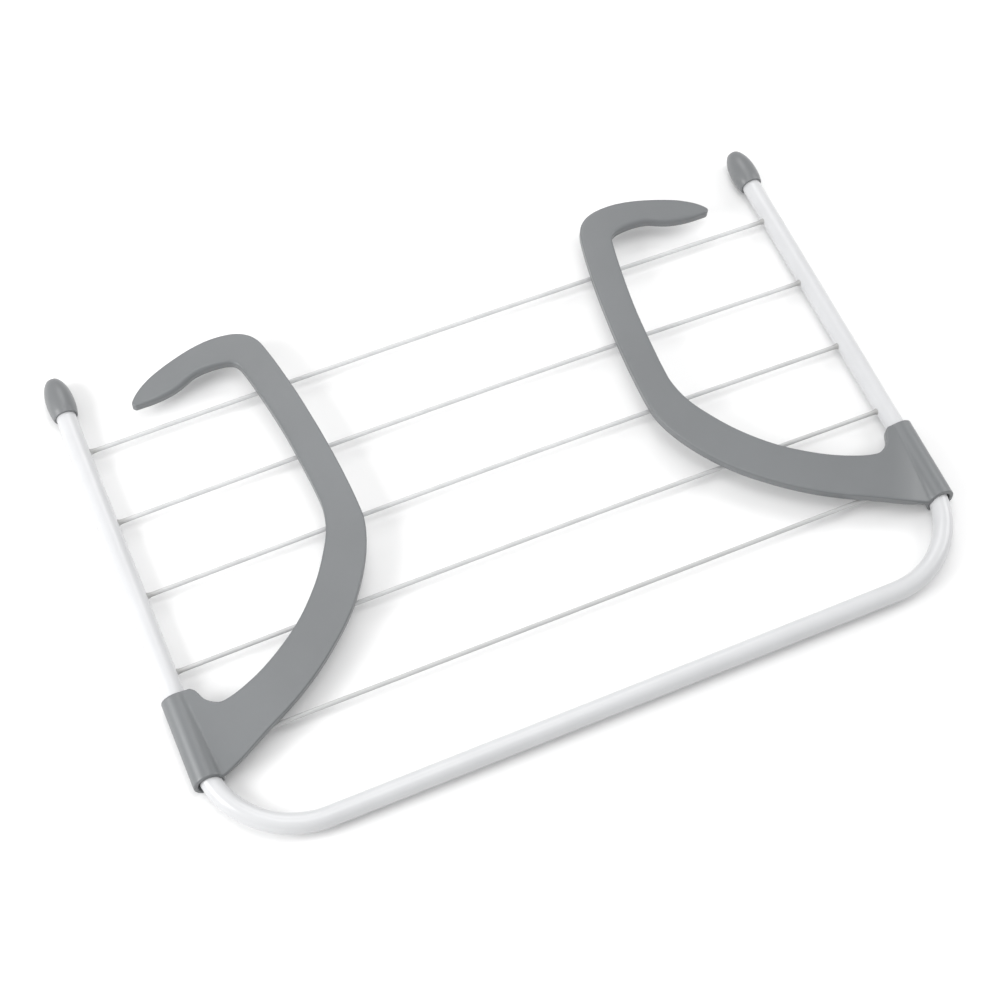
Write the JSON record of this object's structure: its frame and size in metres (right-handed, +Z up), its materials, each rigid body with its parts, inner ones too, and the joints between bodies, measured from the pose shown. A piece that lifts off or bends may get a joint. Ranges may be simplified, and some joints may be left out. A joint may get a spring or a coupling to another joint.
{
  "type": "hang-over folding drying rack",
  "caption": "Fold-flat clothes airer that hangs over a rail: bent white tube frame strung with wires, grey end caps and two swing-up moulded hook arms.",
  "frame": {"origin": "middle of the footprint, on the surface the folded rack lies on", "axes": "+X across the rack along the wires, +Y from the front bar to the open end with the caps, +Z up, out of the surface"},
  "size_m": [0.52, 0.3524, 0.0224],
  "materials": {
    "tube_coat": "glossy white powder coat",
    "wire_coat": "satin white coat",
    "arm_plastic": "satin grey moulded plastic",
    "cap_plastic": "satin grey moulded plastic"
  },
  "bodies": {
    "rack": {"frame_tube": "tube_coat", "wire_1": "wire_coat", "wire_2": "wire_coat", "wire_3": "wire_coat", "wire_4": "wire_coat", "wire_5": "wire_coat", "end_cap_left": "cap_plastic", "end_cap_right": "cap_plastic"},
    "arm_left": {"hook_arm_left": "arm_plastic"},
    "arm_right": {"hook_arm_right": "arm_plastic"}
  },
  "joints": [
    {"name": "arm_left_hinge", "type": "hinge", "parent": "rack", "child": "arm_left", "pos_m": [-0.25025, -0.0944, 0.0092], "axis": [0, -1, 0], "range_deg": [0, 90]},
    {"name": "arm_right_hinge", "type": "hinge", "parent": "rack", "child": "arm_right", "pos_m": [0.25025, -0.0944, 0.0092], "axis": [0, 1, 0], "range_deg": [0, 90]}
  ]
}
